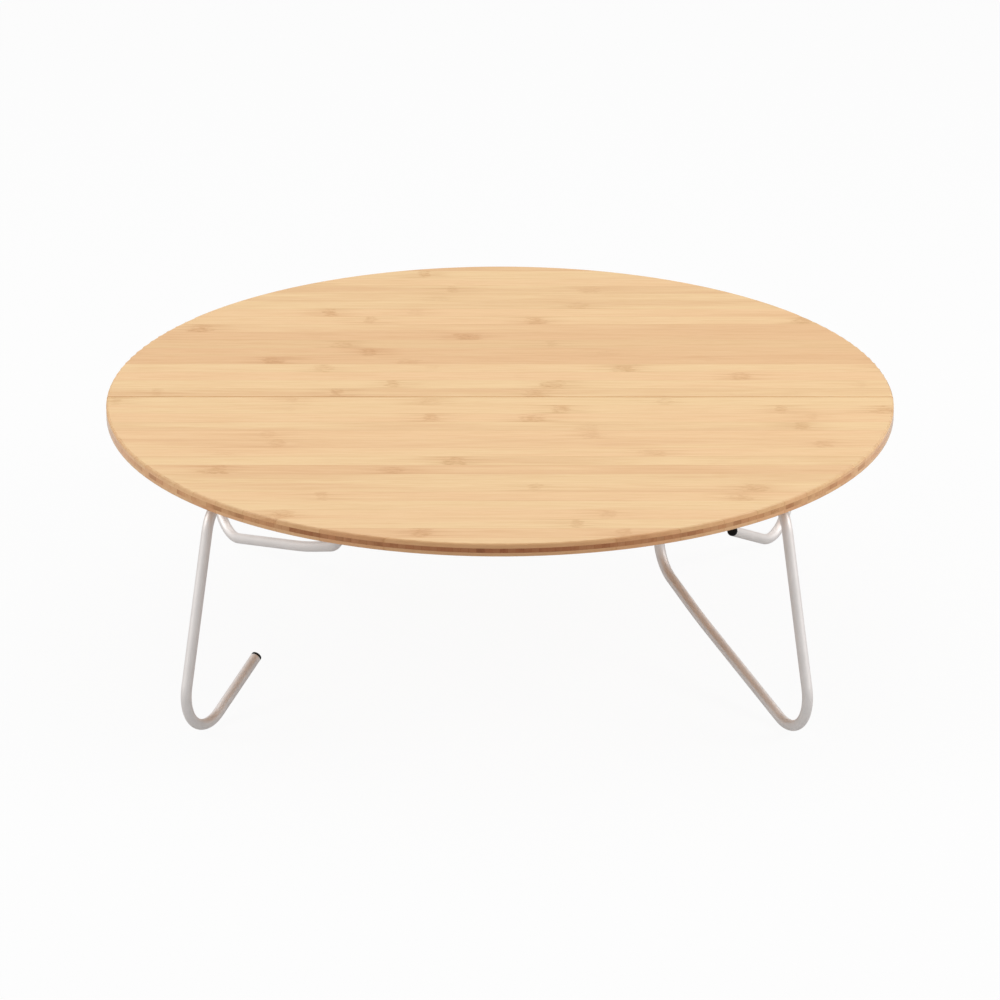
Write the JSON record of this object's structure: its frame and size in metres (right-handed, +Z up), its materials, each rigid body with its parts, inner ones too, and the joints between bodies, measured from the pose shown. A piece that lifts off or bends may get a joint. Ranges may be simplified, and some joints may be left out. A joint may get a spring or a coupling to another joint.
{
  "type": "folding camp table",
  "caption": "Low round folding table: a laminated bamboo top, split across its middle and hinged underneath, on bent metal tube legs that swing flat under it.",
  "frame": {"origin": "on the floor, under the middle of the top", "axes": "+Z up; the seam between the two halves runs along X; the front half lies towards -Y"},
  "size_m": [0.7, 0.6998, 0.226],
  "materials": {
    "bamboo_face": "clear satin lacquer",
    "bamboo_core": "carbonised, lacquered edge",
    "bamboo_under": "clear satin lacquer",
    "tube_steel": "satin",
    "clip_steel": "satin",
    "hinge_steel": "satin",
    "screw_steel": "zinc",
    "black_plastic": "matte"
  },
  "bodies": {
    "front_half": {"front_face_ply": "bamboo_face", "front_core_ply": "bamboo_core", "front_under_ply": "bamboo_under", "front_left_clip_outer": "clip_steel", "front_left_clip_inner": "clip_steel", "front_right_clip_outer": "clip_steel", "front_right_clip_inner": "clip_steel", "front_clip_screws": "screw_steel", "front_hinge_screws": "screw_steel", "left_hinge_front_leaf": "hinge_steel", "right_hinge_front_leaf": "hinge_steel", "left_hinge_pin": "hinge_steel", "right_hinge_pin": "hinge_steel"},
    "rear_half": {"rear_face_ply": "bamboo_face", "rear_core_ply": "bamboo_core", "rear_under_ply": "bamboo_under", "rear_left_clip_outer": "clip_steel", "rear_left_clip_inner": "clip_steel", "rear_right_clip_outer": "clip_steel", "rear_right_clip_inner": "clip_steel", "rear_clip_screws": "screw_steel", "rear_hinge_screws": "screw_steel", "left_hinge_rear_leaf": "hinge_steel", "right_hinge_rear_leaf": "hinge_steel"},
    "front_left_leg": {"front_left_hook_leg": "tube_steel", "front_left_return_plug": "black_plastic", "front_left_pivot_plug": "black_plastic"},
    "front_right_leg": {"front_right_loop_leg": "tube_steel", "front_right_pivot_plugs": "black_plastic"},
    "rear_right_leg": {"rear_right_hook_leg": "tube_steel", "rear_right_return_plug": "black_plastic", "rear_right_pivot_plug": "black_plastic"},
    "rear_left_leg": {"rear_left_loop_leg": "tube_steel", "rear_left_pivot_plugs": "black_plastic"}
  },
  "joints": [
    {"name": "top_fold", "type": "hinge", "parent": "front_half", "child": "rear_half", "pos_m": [0, 0, 0.202], "axis": [-1, 0, 0], "range_deg": [0, 180]},
    {"name": "front_left_leg_fold", "type": "hinge", "parent": "front_half", "child": "front_left_leg", "pos_m": [-0.24856, -0.20783, 0.20895], "axis": [-0.5, -0.866, 0], "range_deg": [0, 90]},
    {"name": "front_right_leg_fold", "type": "hinge", "parent": "front_half", "child": "front_right_leg", "pos_m": [0.24395, -0.20909, 0.20895], "axis": [-0.4695, 0.8829, 0], "range_deg": [0, 90]},
    {"name": "rear_right_leg_fold", "type": "hinge", "parent": "rear_half", "child": "rear_right_leg", "pos_m": [0.24856, 0.20783, 0.20895], "axis": [0.5, 0.866, 0], "range_deg": [0, 90]},
    {"name": "rear_left_leg_fold", "type": "hinge", "parent": "rear_half", "child": "rear_left_leg", "pos_m": [-0.24395, 0.20909, 0.20895], "axis": [0.4695, -0.8829, 0], "range_deg": [0, 90]}
  ],
  "couplings": [
    {"joint": "front_left_leg_fold", "follows": "top_fold", "ratio": 0.5},
    {"joint": "front_right_leg_fold", "follows": "top_fold", "ratio": 0.5},
    {"joint": "rear_right_leg_fold", "follows": "top_fold", "ratio": 0.5},
    {"joint": "rear_left_leg_fold", "follows": "top_fold", "ratio": 0.5}
  ]
}
